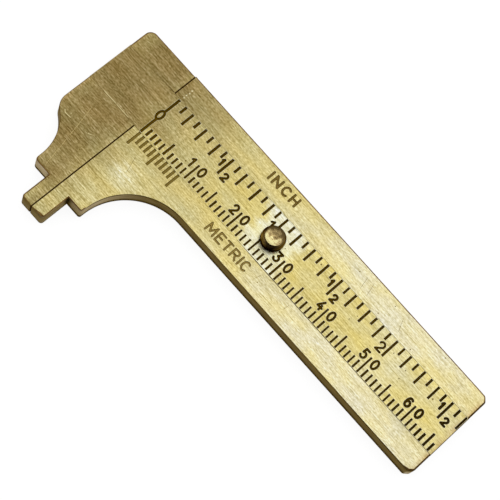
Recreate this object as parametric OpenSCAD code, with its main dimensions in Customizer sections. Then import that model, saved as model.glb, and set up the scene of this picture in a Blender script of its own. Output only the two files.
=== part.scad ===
// Brass pocket slide caliper. A flat beam carries the fixed jaw and a dovetailed channel.
// A graduated bar slides in the channel, and carries the moving jaw and a thumb stud.
// Millimetres. X runs along the beam, from the fixed jaw's measuring face to the tail.
// Y runs across, from the channel's centreline to the inch side. Z runs up from the back face.

/* [Beam] */
// Length from the measuring face to the tail
beam_len = 68.3; // [50:0.1:120]
// Thickness of the beam and of the moving jaw
beam_t = 3; // [2.6:0.1:6]
// Width of the rail on the inch side, at the front face
upper_rail_w = 4.65; // [3:0.05:8]
// Width of the rail on the millimetre side, at the front face
lower_rail_w = 4.35; // [3:0.05:8]
// Length cut off each side of the two clipped corners at the tail
tail_clip = 0.75; // [0.2:0.05:3]

/* [Jaws] */
// Reach of both jaws past the beam's lower edge
jaw_reach = 16.65; // [12:0.05:30]
// Length of the fixed jaw's narrow tip
fixed_tip_len = 5.25; // [2:0.05:8]
// Length of the moving jaw's narrow tip
moving_tip_len = 5.4; // [2:0.05:8]
// Width of the fixed jaw's tip
fixed_tip_w = 2.55; // [1:0.05:4]
// Width of the moving jaw's tip
moving_tip_w = 2.25; // [1:0.05:4]
// Width of the fixed jaw above its tip
fixed_jaw_w = 5.45; // [4.5:0.05:9]
// Width of the moving jaw above its tip
moving_jaw_w = 5.5; // [4.5:0.05:8]
// Radius of the fillet between the fixed jaw and the beam
jaw_fillet_r = 10.6; // [2:0.1:16]
// Radius of the tips' outer corners
tip_corner_r = 0.55; // [0.1:0.05:0.9]
// Radius of the fixed jaw's corner above its tip
fixed_step_r = 0.4; // [0.1:0.05:0.9]
// Radius of the moving jaw's corner above its tip
moving_step_r = 0.65; // [0.1:0.05:1.2]

/* [Moving jaw's head] */
// Width of the head, from the measuring face to its free side
head_w = 10.5; // [9:0.05:20]
// Distance from the beam's upper edge down to the head's
head_top_inset = 0.15; // [0:0.05:1]
// Radius of the head's top corner
head_corner_r = 1.3; // [0.2:0.1:3]
// Radius of the rounded shoulder below the head's free side
head_shoulder_r = 2.8; // [0.5:0.1:5]
// Distance from the beam's lower edge down to the shoulder's centre
head_shoulder_drop = 0.65; // [0:0.05:3]
// Radius of the hollow between the shoulder and the moving jaw
head_hollow_r = 8.3; // [2:0.1:14]

/* [Dovetail slide] */
// Width of the channel at the front face
slot_w = 8.65; // [7:0.05:14]
// Depth of the channel
slot_depth = 1.8; // [1.5:0.05:2]
// Slope of the channel's sides, in degrees from its floor
dovetail_angle = 60; // [50:1:80]
// Running clearance on each side of the bar
side_clear = 0.04; // [0.02:0.01:0.1]
// Running clearance under the bar
floor_clear = 0.05; // [0.02:0.01:0.1]
// Gap between the measuring faces when the caliper is closed
jaw_gap = 0.04; // [0.02:0.01:0.1]
// Length of bar that stays in the channel when the caliper is fully open
engaged_len = 8.3; // [8.3:0.1:20]
// Clearance around the bar's tongue, which is let right through the head
tongue_clear = 0.01; // [0.005:0.005:0.05]

/* [Scales] */
// Distance from the measuring face to both zero lines
zero_x = 1.35; // [0.8:0.05:4]
// Width of the scale lines on the bar
line_w = 0.3; // [0.15:0.01:0.5]
// Width of the zero line on the bar
zero_line_w = 0.42; // [0.15:0.01:0.6]
// Depth of all engraved lines
line_depth = 0.2; // [0.05:0.01:0.3]
// Distance from the bar's edges to the lines on it
line_margin = 0.15; // [0.05:0.01:0.5]
// Least distance from the last lines to the bar's end
line_end_margin = 0.25; // [0.2:0.05:5]
// Distance between the millimetre scale's lines
mm_pitch = 1; // [1:1:2]
// Length of the single millimetre lines
mm_line = 1.6; // [0.8:0.05:2]
// Length of the five millimetre lines
mm_five_line = 2.7; // [1.5:0.05:3]
// Length of the ten millimetre lines
mm_ten_line = 3.35; // [2:0.05:3.8]
// Distance between the inch scale's lines, a sixteenth of an inch
inch_pitch = 1.5875; // [1.5875:0.79375:3.175]
// Length of the sixteenth lines
inch_line = 1.45; // [0.8:0.05:2]
// Length of the eighth and quarter lines
inch_eighth_line = 2.65; // [1.5:0.05:3]
// Length of the half and whole inch lines
inch_half_line = 3.6; // [2:0.05:3.8]
// Distance between the vernier's lines
vernier_pitch = 0.9; // [0.9:0.01:1.9]
// Width of the vernier's lines
vernier_line_w = 0.4; // [0.15:0.01:0.5]
// Length of the vernier's short lines
vernier_line = 1.8; // [0.8:0.05:2.2]
// Length of the vernier's first, middle and last lines
vernier_long_line = 2.8; // [1.5:0.05:2.9]

/* [Thumb stud] */
// Distance from the measuring face to the stud
stud_x = 27.55; // [12:0.05:50]
// Diameter of the stud
stud_d = 4.05; // [3:0.05:6]
// Height of the stud above the front face
stud_h = 1.9; // [1:0.05:4]
// Height of the stud's straight side
stud_side_h = 1.2; // [0.4:0.05:3]
// Diameter of the rim at the top of the stud
stud_rim_d = 3.25; // [2:0.05:4]
// Depth of the turned dish in the stud's top
stud_dish = 0.45; // [0.1:0.05:0.8]
// Diameter of the stud's shank in the bar
shank_d = 2; // [1:0.05:2.2]
// Diameter of the shank's peened end
peen_d = 2.8; // [1.6:0.05:3]
// Height of the shank's peened end
peen_h = 0.4; // [0.2:0.05:0.6]

/* [Pins and spring] */
// Diameter of the two pins that hold the bar's tongue
jaw_pin_d = 1.5; // [0.8:0.05:2]
// Distance from the measuring face to those pins
jaw_pin_x = 5.2; // [2:0.05:7]
// Distance from the centreline to those pins
jaw_pin_y = 2.4; // [1.5:0.05:3]
// Length of those pins inside the tongue
jaw_pin_bite = 1.1; // [0.5:0.05:1.2]
// Diameter of the stop pin
stop_pin_d = 1.5; // [0.8:0.05:1.8]
// Distance from the centreline to the stop pin
stop_pin_y = 2.9; // [2.6:0.05:3.4]
// Height of the stop pin above the channel's floor
stop_pin_rise = 0.7; // [0.3:0.05:0.8]
// Clearance around the stop pin in its groove
groove_clear = 0.1; // [0.05:0.01:0.2]
// Length of bar left past the end of the groove
groove_end_wall = 3; // [1:0.1:4]
// Clearance around the pins and the shank in their holes
pin_fit = 0.01; // [0.005:0.005:0.05]
// Length of the bowed friction spring
spring_len = 6.6; // [4:0.1:7]
// Width of the friction spring
spring_w = 3; // [1.5:0.1:3.4]
// Thickness of the friction spring
spring_t = 0.2; // [0.1:0.01:0.3]
// Height of the friction spring's bow
spring_rise = 0.38; // [0.2:0.01:0.5]
// Distance from the centreline to the friction spring
spring_y = 2.6; // [1.8:0.05:3]
// Gap between the friction spring's crown and the bar
spring_gap = 0.02; // [0.01:0.01:0.1]
// Clearance around the friction spring in its pocket
pocket_clear = 0.1; // [0.05:0.01:0.3]
// Length of channel floor in front of that pocket
pocket_front_wall = 0.8; // [0.4:0.1:2]

/* [Hidden] */
$fn = 96;

// How far cuts reach past a face, and how far joined shapes overlap
over = 1;

// Edges of the beam and jaws, as distances from the centreline
beam_up = slot_w / 2 + upper_rail_w;
beam_low = slot_w / 2 + lower_rail_w;
jaw_end = beam_low + jaw_reach;
fixed_step = jaw_end - fixed_tip_len;
moving_step = jaw_end - moving_tip_len;
head_top = beam_up - head_top_inset;
fillet_r = min(jaw_fillet_r, fixed_step - beam_low - fixed_step_r);

// The head's S-shaped side: a shoulder arc that runs into a hollow arc
shoulder_c = [head_shoulder_r - head_w, -(beam_low + head_shoulder_drop)];
side_step = head_w - moving_jaw_w;
hollow_room = moving_step - moving_step_r - beam_low - head_shoulder_drop;
hollow_limit = (pow(hollow_room, 2) + pow(side_step, 2)) / (2 * side_step) - head_shoulder_r;
hollow_r = min(head_hollow_r, hollow_limit);
arcs_r = hollow_r + head_shoulder_r;
hollow_drop = sqrt(2 * side_step * arcs_r - pow(side_step, 2));
hollow_c = [-moving_jaw_w - hollow_r, shoulder_c[1] - hollow_drop];
arcs_meet = hollow_c + (shoulder_c - hollow_c) * hollow_r / arcs_r;

// Heights of the channel's floor and the bar, and the bar's size
floor_z = beam_t - slot_depth;
bar_z = floor_z + floor_clear;
bar_t = beam_t - bar_z;
bar_w = slot_w - 2 * side_clear;
travel = beam_len - engaged_len;

// Numbers of lines that fit on the bar, and the lines that are longer
line_end = beam_len - line_end_margin;
mm_last = floor((line_end - zero_x) / mm_pitch);
inch_last = floor((line_end - zero_x) / inch_pitch);
vernier_last = 10;
five_lines = 5;
ten_lines = 10;
eighth_lines = 2;
half_lines = 8;

// Stop pin, its groove and the spring's pocket
groove_r = stop_pin_d / 2 + groove_clear;
groove_depth = stop_pin_rise - floor_clear + groove_clear;
stop_x = engaged_len - groove_end_wall - groove_r;
pocket_z = bar_z - spring_gap - spring_t - spring_rise;
pocket_len = spring_len + 2 * pocket_clear;
pocket_w = spring_w + 2 * pocket_clear;
spring_x = pocket_front_wall + pocket_len / 2;
spring_in_r = (pow(spring_len / 2, 2) + pow(spring_rise, 2)) / (2 * spring_rise);

// Rounds an outer corner of an outline. With no turn, the material lies to the right and above.
module corner_cut(at, r, turn) {
    translate(at)
        rotate(turn)
            difference() {
                translate([-over, -over])
                    square(r + over);
                translate([r, r])
                    circle(r);
            }
}

// Clips an outer corner of an outline, turned as above
module corner_clip(at, leg, turn) {
    translate(at)
        rotate(turn)
            polygon([[-over, -over], [leg + over, -over], [-over, leg + over]]);
}

// Outline of the beam with its fixed jaw
module beam_outline() {
    difference() {
        union() {
            translate([0, -beam_low])
                square([beam_len, beam_low + beam_up]);
            translate([0, -fixed_step])
                square([fixed_jaw_w, fixed_step]);
            translate([0, -jaw_end])
                square([fixed_tip_w, jaw_end]);
            difference() {
                translate([fixed_jaw_w - over, -beam_low - fillet_r])
                    square([fillet_r + over, fillet_r + over]);
                translate([fixed_jaw_w + fillet_r, -beam_low - fillet_r])
                    circle(fillet_r);
            }
        }
        corner_clip([beam_len, beam_up], tail_clip, 180);
        corner_clip([beam_len, -beam_low], tail_clip, 90);
        corner_cut([fixed_jaw_w, -fixed_step], fixed_step_r, 90);
        corner_cut([fixed_tip_w, -jaw_end], tip_corner_r, 90);
    }
}

// Outline of the head with its moving jaw
module head_outline() {
    difference() {
        union() {
            translate([-head_w, shoulder_c[1]])
                square([head_w - jaw_gap, head_top - shoulder_c[1]]);
            translate(shoulder_c)
                circle(head_shoulder_r);
            difference() {
                polygon([
                    [-jaw_gap, shoulder_c[1] + over],
                    [shoulder_c[0], shoulder_c[1] + over],
                    arcs_meet,
                    [-moving_jaw_w, hollow_c[1]],
                    [-moving_jaw_w, -moving_step],
                    [-jaw_gap, -moving_step]
                ]);
                translate(hollow_c)
                    circle(hollow_r);
            }
            translate([-moving_tip_w, -jaw_end])
                square([moving_tip_w - jaw_gap, jaw_end]);
        }
        corner_cut([-head_w, head_top], head_corner_r, 270);
        corner_cut([-moving_jaw_w, -moving_step], moving_step_r, 0);
        corner_cut([-moving_tip_w, -jaw_end], tip_corner_r, 0);
    }
}

// Dovetail along X with its narrow side up, from x0 to x1 and from z0 up to the front face
module dovetail(top_w, x0, x1, z0, above = 0) {
    depth = beam_t - z0;
    floor_w = top_w + 2 * depth / tan(dovetail_angle);
    translate([x0, 0, z0])
        rotate([90, 0, 90])
            linear_extrude(x1 - x0)
                polygon([
                    [-floor_w / 2, 0],
                    [floor_w / 2, 0],
                    [top_w / 2, depth],
                    [top_w / 2, depth + above],
                    [-top_w / 2, depth + above],
                    [-top_w / 2, depth]
                ]);
}

// Groove of one engraved line across X, from y0 to y1
module line_cut(x, y0, y1, w) {
    translate([x - w / 2, y0, beam_t - line_depth])
        cube([w, y1 - y0, line_depth + over]);
}

// Lengths of the lines on each scale
function mm_line_len(i) = i % ten_lines == 0 ? mm_ten_line : i % five_lines == 0 ? mm_five_line : mm_line;
function inch_line_len(i) =
    i % half_lines == 0 ? inch_half_line : i % eighth_lines == 0 ? inch_eighth_line : inch_line;
function vernier_line_len(i) = i % five_lines == 0 ? vernier_long_line : vernier_line;

// The two scales and the zero line that they share
module bar_lines() {
    edge = bar_w / 2 - line_margin;
    line_cut(zero_x, -bar_w / 2 - over, bar_w / 2 + over, zero_line_w);
    for (i = [1:mm_last])
        line_cut(zero_x + i * mm_pitch, -edge, mm_line_len(i) - edge, line_w);
    for (i = [1:inch_last])
        line_cut(zero_x + i * inch_pitch, edge - inch_line_len(i), edge, line_w);
}

// The vernier on the lower rail, open to the channel
module vernier_lines() {
    for (i = [0:vernier_last])
        line_cut(
            zero_x + i * vernier_pitch,
            -slot_w / 2 - vernier_line_len(i),
            over - slot_w / 2,
            vernier_line_w
        );
}

// Shank and peened end of the stud, or the hole for them with a clearance
module shank(clear) {
    translate([stud_x, 0, bar_z])
        rotate_extrude()
            polygon([
                [0, 0],
                [peen_d / 2 + clear, 0],
                [shank_d / 2 + clear, peen_h],
                [shank_d / 2 + clear, bar_t],
                [0, bar_t]
            ]);
}

// One pin through the head's floor into the tongue, or its hole with a clearance
module jaw_pin(side, clear, below = 0) {
    translate([-jaw_pin_x, side * jaw_pin_y, -below])
        cylinder(h = bar_z + jaw_pin_bite + below, d = jaw_pin_d + 2 * clear);
}

module beam() {
    color("#d8c88c")
        difference() {
            linear_extrude(beam_t)
                beam_outline();
            dovetail(slot_w, -over, beam_len + over, floor_z, over);
            vernier_lines();
            translate([stop_x, stop_pin_y, -over])
                cylinder(h = beam_t, d = stop_pin_d + 2 * pin_fit);
            translate([spring_x - pocket_len / 2, -spring_y - pocket_w / 2, pocket_z])
                cube([pocket_len, pocket_w, beam_t]);
        }
}

module slide_bar() {
    color("#d6c273")
        difference() {
            dovetail(bar_w, -head_w, beam_len, bar_z);
            bar_lines();
            shank(pin_fit);
            jaw_pin(1, pin_fit, over);
            jaw_pin(-1, pin_fit, over);
            for (x = [stop_x, stop_x + travel])
                translate([x, stop_pin_y, bar_z - over])
                    cylinder(h = groove_depth + over, r = groove_r);
            translate([stop_x, stop_pin_y - groove_r, bar_z - over])
                cube([travel, 2 * groove_r, groove_depth + over]);
        }
}

module moving_jaw() {
    color("#a8935a")
        difference() {
            linear_extrude(beam_t)
                head_outline();
            dovetail(bar_w + 2 * tongue_clear, -head_w - over, over, bar_z - tongue_clear, over);
            jaw_pin(1, pin_fit, over);
            jaw_pin(-1, pin_fit, over);
        }
}

module thumb_stud() {
    color("#8c7340")
        union() {
            shank(0);
            translate([stud_x, 0, beam_t])
                rotate_extrude()
                    polygon([
                        [0, 0],
                        [stud_d / 2, 0],
                        [stud_d / 2, stud_side_h],
                        [stud_rim_d / 2, stud_h],
                        [0, stud_h - stud_dish]
                    ]);
        }
}

module jaw_pin_upper() {
    color("#b39a58")
        jaw_pin(1, 0);
}

module jaw_pin_lower() {
    color("#b39a58")
        jaw_pin(-1, 0);
}

module stop_pin() {
    color("#b39a58")
        translate([stop_x, stop_pin_y, 0])
            cylinder(h = floor_z + stop_pin_rise, d = stop_pin_d);
}

module friction_spring() {
    color("#b0703c")
        translate([spring_x, -spring_y, pocket_z])
            intersection() {
                translate([-spring_len / 2, -spring_w / 2, 0])
                    cube([spring_len, spring_w, spring_rise + spring_t + over]);
                translate([0, spring_w / 2 + over, spring_rise - spring_in_r])
                    rotate([90, 0, 0])
                        difference() {
                            cylinder(h = spring_w + 2 * over, r = spring_in_r + spring_t);
                            translate([0, 0, -over])
                                cylinder(h = spring_w + 4 * over, r = spring_in_r);
                        }
            }
}

beam();
slide_bar();
moving_jaw();
thumb_stud();
jaw_pin_upper();
jaw_pin_lower();
stop_pin();
friction_spring();
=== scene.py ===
import random
from collections import namedtuple
from functools import partialmethod
from math import atan2, cos, degrees, exp, pi, radians, sin, sqrt, tan

import bmesh
import bpy
import numpy as np
from mathutils import Matrix, Vector
from mathutils.geometry import delaunay_2d_cdt


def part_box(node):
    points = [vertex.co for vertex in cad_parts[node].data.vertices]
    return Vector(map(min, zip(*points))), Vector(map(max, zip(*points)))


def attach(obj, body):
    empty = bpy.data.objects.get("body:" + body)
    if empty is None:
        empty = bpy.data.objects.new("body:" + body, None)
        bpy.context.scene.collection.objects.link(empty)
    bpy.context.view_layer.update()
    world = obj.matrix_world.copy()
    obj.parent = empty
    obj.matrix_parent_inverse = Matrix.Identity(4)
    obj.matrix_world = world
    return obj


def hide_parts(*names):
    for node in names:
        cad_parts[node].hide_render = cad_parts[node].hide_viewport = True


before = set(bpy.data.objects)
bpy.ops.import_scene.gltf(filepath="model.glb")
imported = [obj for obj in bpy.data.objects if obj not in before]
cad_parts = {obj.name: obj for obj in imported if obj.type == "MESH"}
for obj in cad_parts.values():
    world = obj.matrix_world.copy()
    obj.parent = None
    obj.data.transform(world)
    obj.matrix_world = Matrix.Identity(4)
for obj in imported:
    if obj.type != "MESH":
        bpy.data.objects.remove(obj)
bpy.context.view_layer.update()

# A brass pocket slide caliper. Sizes are millimetres until a piece is finished, in the part's own frame:
# X runs along the beam from the measuring face, Y across it, and Z out of the graduated face.
MM = 0.001


def node_box(node):
    """Lowest and highest corner of a solid, in millimetres."""
    low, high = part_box(node)
    return low / MM, high / MM


beam_min, beam_max = node_box("beam")
head_min, head_max = node_box("moving_jaw")
bar_min, bar_max = node_box("slide_bar")
stud_min, stud_max = node_box("thumb_stud")

# Beam and fixed jaw
BACK_Z = beam_min.z
FRONT_Z = beam_max.z
TAIL_X = beam_max.x
RAIL_TOP_Y = beam_max.y
JAW_END_Y = beam_min.y
SLOT_Y = 4.325
LOWER_RAIL_W = 4.35
RAIL_LOW_Y = -SLOT_Y - LOWER_RAIL_W
JAW_STEP_Y = JAW_END_Y + 5.25
FIXED_TIP_W = 2.55
FIXED_JAW_W = 5.45
TIP_CORNER_R = 0.55
FIXED_STEP_R = 0.4
SEAM_CORNER_R = 0.15
JAW_FILLET_R = 10.6
TAIL_CLIP = 0.75
TAIL_BEND_R = 0.6
TAIL_WEAR = 2.0
SEAM_WEAR = 0.4
CHANNEL_Z = 1.2
DOVETAIL_SLOPE = tan(radians(60))

# Head and moving jaw
HEAD_END_X = head_min.x
SEAM_X = head_max.x
HEAD_TOP_Y = head_max.y
MOVING_STEP_Y = JAW_END_Y + 5.4
MOVING_TIP_W = 2.25
MOVING_JAW_W = 5.5
MOVING_STEP_R = 0.65
HEAD_CORNER_R = 1.3
SHOULDER_R = 2.8
SHOULDER_DROP = 0.65
HOLLOW_R = 8.3
JAW_PIN_X = -5.2
JAW_PIN_Y = 2.4
JAW_PIN_TOP_Z = 2.35
PIN_R = 0.75
PIN_FIT = 0.01

# Slide bar
BAR_Z = bar_min.z
BAR_Y = SLOT_Y - 0.04
BAR_CLOSE = 0.022
BAR_CLOSE_X = 24
BAR_OPEN_X = 29
TONGUE_FIT = 0.01
GROOVE_R = 0.85
GROOVE_Y = 2.9
GROOVE_DEPTH = 0.75
GROOVE_START_X = 4.45
GROOVE_END_WALL = 3.0
SPRING_MIN, SPRING_MAX = node_box("friction_spring")
POCKET_CLEAR = 0.1

# Thumb stud
STUD_X = (stud_min.x + stud_max.x) / 2
STUD_R = (stud_max.x - stud_min.x) / 2
STUD_SIDE_H = 1.2
STUD_RIM_R = 1.625
STUD_DISH = 0.45
SHANK_R = 1.0
PEEN_R = 1.4
PEEN_H = 0.4
STUD_EASE = 0.12
LIP = 0.02
RING_PITCH = 0.15
RING_H = 0.006
PIP_R = 0.14
PIP_H = 0.08

# Edges and engraving
EDGE_R = 0.03
FAR_EDGE_R = 0.25
HEAD_EDGE_R = 0.1
SEAM_EDGE_R = 0.1
TAIL_EDGE_R = 0.3
JAW_EDGE_R = 0.24
TIP_EDGE_R = 0.5
FOOT_R = 0.04
FINE_CHAMFER = 0.005
SLOT_CHAMFER = 0.06
BAR_EDGE_R = 0.02
BAR_END_R = 0.12
EDGE_BANDS = 2
MARK_WALL = 0.05
MARK_WALL_SHARE = 0.6
WALL_SLACK = 0.2
MARK_DEPTH = 0.2
BURR_W = 0.035
BURR_H = 0.012
FAINT_WALL = 0.08
FAINT_DEPTH = 0.1
SCRATCH_DEPTH = 0.02
ZERO_X = 1.35
MM_PITCH = 1.0
INCH_PITCH = 25.4 / 16
VERNIER_X = 1.49
VERNIER_PITCH = 0.9

# Lengths of a scale's lines: the first whose step divides the line's number
MM_LENGTHS = ((10, 3.47), (5, 2.72), (1, 1.63))
INCH_LENGTHS = ((8, 3.65), (2, 2.7), (1, 1.5))
VERNIER_LENGTHS = ((5, 2.84), (1, 1.84))

# Ranges that noise lies in: the middle of it, and nearly all of it
NOISE_CORE = (0.3, 0.7)
NOISE_SPAN = (0.25, 0.75)

# Finishes, in the order of each piece's material slots
FACE, WALL, INK, FAINT, BRIGHT, INNER, WORN_AND_SHADED = range(7)

Stroke = namedtuple("Stroke", "points half_w depth finish square", defaults=[False])


# Plane shapes
def arc(centre, radius, start, end, steps):
    """Points of a circular arc between two angles in degrees."""
    angles = [radians(start + (end - start) * i / steps) for i in range(steps + 1)]
    return [(centre[0] + radius * cos(a), centre[1] + radius * sin(a)) for a in angles]


def corner(x, y, radius, start, steps=8):
    """Points of a square corner, rounded over a quarter turn from an angle in degrees."""
    (first_x, first_y), (last_x, last_y) = arc((0, 0), radius, start, start + 90, 1)
    return arc((x - first_x - last_x, y - first_y - last_y), radius, start, start + 90, steps)


def beam_outline():
    """Counter-clockwise outline of the beam with its fixed jaw, from the jaw's inner tip."""
    fillet_c = (FIXED_JAW_W + JAW_FILLET_R, RAIL_LOW_Y - JAW_FILLET_R)
    reach = TAIL_CLIP + TAIL_BEND_R * tan(radians(22.5))
    side_x = TAIL_X - reach
    end_x = TAIL_X - TAIL_BEND_R
    return (
        corner(0, JAW_END_Y, SEAM_CORNER_R, 180, 4)
        + corner(FIXED_TIP_W, JAW_END_Y, TIP_CORNER_R, -90)
        + [(FIXED_TIP_W, JAW_STEP_Y)]
        + corner(FIXED_JAW_W, JAW_STEP_Y, FIXED_STEP_R, -90)
        + arc(fillet_c, JAW_FILLET_R, 180, 90, 48)
        + [(TAIL_X - TAIL_WEAR, RAIL_LOW_Y)]
        + arc((side_x, RAIL_LOW_Y + TAIL_BEND_R), TAIL_BEND_R, -90, -45, 5)
        + arc((end_x, RAIL_LOW_Y + reach), TAIL_BEND_R, -45, 0, 5)
        + arc((end_x, RAIL_TOP_Y - reach), TAIL_BEND_R, 0, 45, 5)
        + arc((side_x, RAIL_TOP_Y - TAIL_BEND_R), TAIL_BEND_R, 45, 90, 5)
        + [(TAIL_X - TAIL_WEAR, RAIL_TOP_Y), (SEAM_WEAR, RAIL_TOP_Y), (0, RAIL_TOP_Y)]
    )


def head_outline():
    """Counter-clockwise outline of the head with its moving jaw, from the upper end of the seam."""
    shoulder_c = Vector((HEAD_END_X + SHOULDER_R, RAIL_LOW_Y - SHOULDER_DROP))
    hollow_x = -MOVING_JAW_W - HOLLOW_R
    across = shoulder_c.x - hollow_x
    drop = sqrt((SHOULDER_R + HOLLOW_R) ** 2 - across**2)
    hollow_c = (hollow_x, shoulder_c.y - drop)
    turn = degrees(atan2(drop, across))
    return (
        [(SEAM_X, HEAD_TOP_Y), (SEAM_X - SEAM_WEAR, HEAD_TOP_Y)]
        + corner(HEAD_END_X, HEAD_TOP_Y, HEAD_CORNER_R, 90, 12)
        + arc(shoulder_c, SHOULDER_R, 180, 180 + turn, 12)
        + arc(hollow_c, HOLLOW_R, turn, 0, 32)[1:]
        + corner(-MOVING_JAW_W, MOVING_STEP_Y, MOVING_STEP_R, 180)
        + [(-MOVING_TIP_W, MOVING_STEP_Y)]
        + corner(-MOVING_TIP_W, JAW_END_Y, TIP_CORNER_R, 180)
        + corner(SEAM_X, JAW_END_Y, SEAM_CORNER_R, 270, 4)
    )


def unit(rows):
    """Each row scaled to a length of 1."""
    return rows / np.linalg.norm(rows, axis=1)[:, None]


def inset_loop(loop, distance):
    """A counter-clockwise loop moved inward by one distance, or by one for each point."""
    points = np.array(loop, float)
    ahead = unit(np.roll(points, -1, 0) - points)
    inward = np.stack([-ahead[:, 1], ahead[:, 0]], 1)
    before = np.roll(inward, 1, 0)
    mitre = (inward + before) / (1 + (inward * before).sum(1))[:, None]
    return [tuple(p) for p in points + mitre * np.reshape(distance, (-1, 1))]


def smooth_runs(points, sharp=40, bend=150):
    """Splits a line at its sharp corners, and before it bends back on itself. Angles are in degrees."""
    runs = [[points[0]]]
    bent = 0
    for i in range(1, len(points)):
        runs[-1].append(points[i])
        if i + 1 < len(points):
            before = Vector(points[i]) - Vector(points[i - 1])
            after = Vector(points[i + 1]) - Vector(points[i])
            turn = degrees(before.angle(after))
            bent += turn
            if turn > sharp or bent > bend:
                runs.append([points[i]])
                bent = 0
    return runs


def line_outline(run, half_w, cap_steps=6):
    """Closed counter-clockwise outline round a smooth line, with round ends. A single point gives a disc."""
    if len(run) == 1:
        return arc(run[0], half_w, 0, 360, 2 * cap_steps)[:-1]
    points = np.array(run, float)
    ahead = unit(np.diff(points, axis=0))
    along = unit(np.vstack([ahead[:1], ahead[:-1] + ahead[1:], ahead[-1:]]))
    side = np.stack([along[:, 1], -along[:, 0]], 1) * half_w
    start = degrees(atan2(along[0][1], along[0][0]))
    end = degrees(atan2(along[-1][1], along[-1][0]))
    right = [tuple(p) for p in points + side]
    left = [tuple(p) for p in points - side][::-1]
    end_cap = arc(run[-1], half_w, end - 90, end + 90, cap_steps)[1:-1]
    start_cap = arc(run[0], half_w, start + 90, start + 270, cap_steps)[1:-1]
    return right + end_cap + left + start_cap


def rectangle(low, high):
    """Corners of a rectangle, counter-clockwise from its lowest."""
    return [low, (high[0], low[1]), high, (low[0], high[1])]


def box_outline(run, half_w):
    """Closed counter-clockwise outline round an upright line, with square ends."""
    (x, low), (_, high) = run
    return rectangle((x - half_w, low - half_w), (x + half_w, high + half_w))


def distance_to_stroke(places, stroke):
    """Distance of each place from a stroke's line, measured along X or Y where its ends are square."""
    if not stroke.square:
        return distance_to_line(places, stroke.points)
    (x, low), (_, high) = stroke.points
    past_end = np.maximum(low - places[:, 1], places[:, 1] - high)
    return np.maximum(np.abs(places[:, 0] - x), np.maximum(past_end, 0))


def distance_to_line(places, points):
    """Distance of each place from a line through points."""
    if len(points) == 1:
        return np.linalg.norm(places - np.array(points[0]), axis=1)
    best = np.full(len(places), np.inf)
    for a, b in zip(np.array(points[:-1], float), np.array(points[1:], float)):
        share = np.clip((places - a) @ (b - a) / ((b - a) @ (b - a)), 0, 1)
        best = np.minimum(best, np.linalg.norm(places - a - share[:, None] * (b - a), axis=1))
    return best


# Engraved numbers and letters: each glyph is a list of lines in a unit box
def bow(x, y, rx, ry, start, end, steps=10):
    """Points along an ellipse between two angles in degrees."""
    return [(x + rx * px, y + ry * py) for px, py in arc((0, 0), 1, start, end, steps)]


GLYPHS = {
    "0": [bow(0.5, 0.5, 0.5, 0.5, 90, 450, 20)],
    "1": [[(0.25, 0.76), (0.68, 0.98), (0.68, 0)]],
    "2": [bow(0.48, 0.70, 0.45, 0.30, 165, -35) + [(0.03, 0), (1, 0)]],
    "3": [[(0.08, 1), (0.92, 1), (0.42, 0.58)] + bow(0.45, 0.29, 0.5, 0.29, 75, -160)],
    "4": [[(0.70, 1), (0, 0.28), (1, 0.28)], [(0.72, 0.5), (0.72, 0)]],
    "5": [[(0.92, 1), (0.22, 1), (0.14, 0.56)] + bow(0.46, 0.32, 0.5, 0.32, 110, -150)],
    "6": [bow(0.5, 0.31, 0.48, 0.31, 150, 510, 16), bow(0.56, 0.56, 0.54, 0.44, 55, 195)],
    "I": [[(0.5, 0), (0.5, 1)]],
    "N": [[(0, 0), (0, 1), (1, 0), (1, 1)]],
    "C": [bow(0.55, 0.5, 0.55, 0.5, 50, 310, 14)],
    "H": [[(0, 0), (0, 1)], [(1, 0), (1, 1)], [(0, 0.52), (1, 0.52)]],
    "M": [[(0, 0), (0.06, 1), (0.5, 0.2), (0.94, 1), (1, 0)]],
    "E": [[(1, 1), (0, 1), (0, 0), (1, 0)], [(0, 0.52), (0.82, 0.52)]],
    "T": [[(0, 1), (1, 1)], [(0.5, 1), (0.5, 0)]],
    "R": [
        [(0, 0), (0, 1)] + bow(0.55, 0.75, 0.4, 0.25, 90, -90) + [(0, 0.5)],
        [(0.5, 0.5), (1, 0)],
    ],
}


def glyph(symbol, centre_x, low_y, width, height, half_w, depth=MARK_DEPTH, finish=INK):
    """Strokes of one number or letter, sized over its inked outline."""
    box_w = width - 2 * half_w
    box_h = height - 2 * half_w
    left = centre_x - box_w / 2
    base = low_y + half_w
    return [
        Stroke([(left + x * box_w, base + y * box_h) for x, y in line], half_w, depth, finish)
        for line in GLYPHS[symbol]
    ]


def word(letters, widths, left, low_y, height, gap, half_w):
    """Faint strokes of a word set from its left edge."""
    strokes = []
    for letter, width in zip(letters, widths):
        strokes += glyph(letter, left + width / 2, low_y, width, height, half_w, FAINT_DEPTH, FAINT)
        left += width + gap
    return strokes


def upright(x, low_y, high_y, half_w, depth=MARK_DEPTH, finish=INK):
    """A straight line across the beam with square ends."""
    return Stroke([(x, low_y + half_w), (x, high_y - half_w)], half_w, depth, finish, True)


# Graduations
def line_length(number, lengths):
    return next(length for step, length in lengths if number % step == 0)


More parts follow.
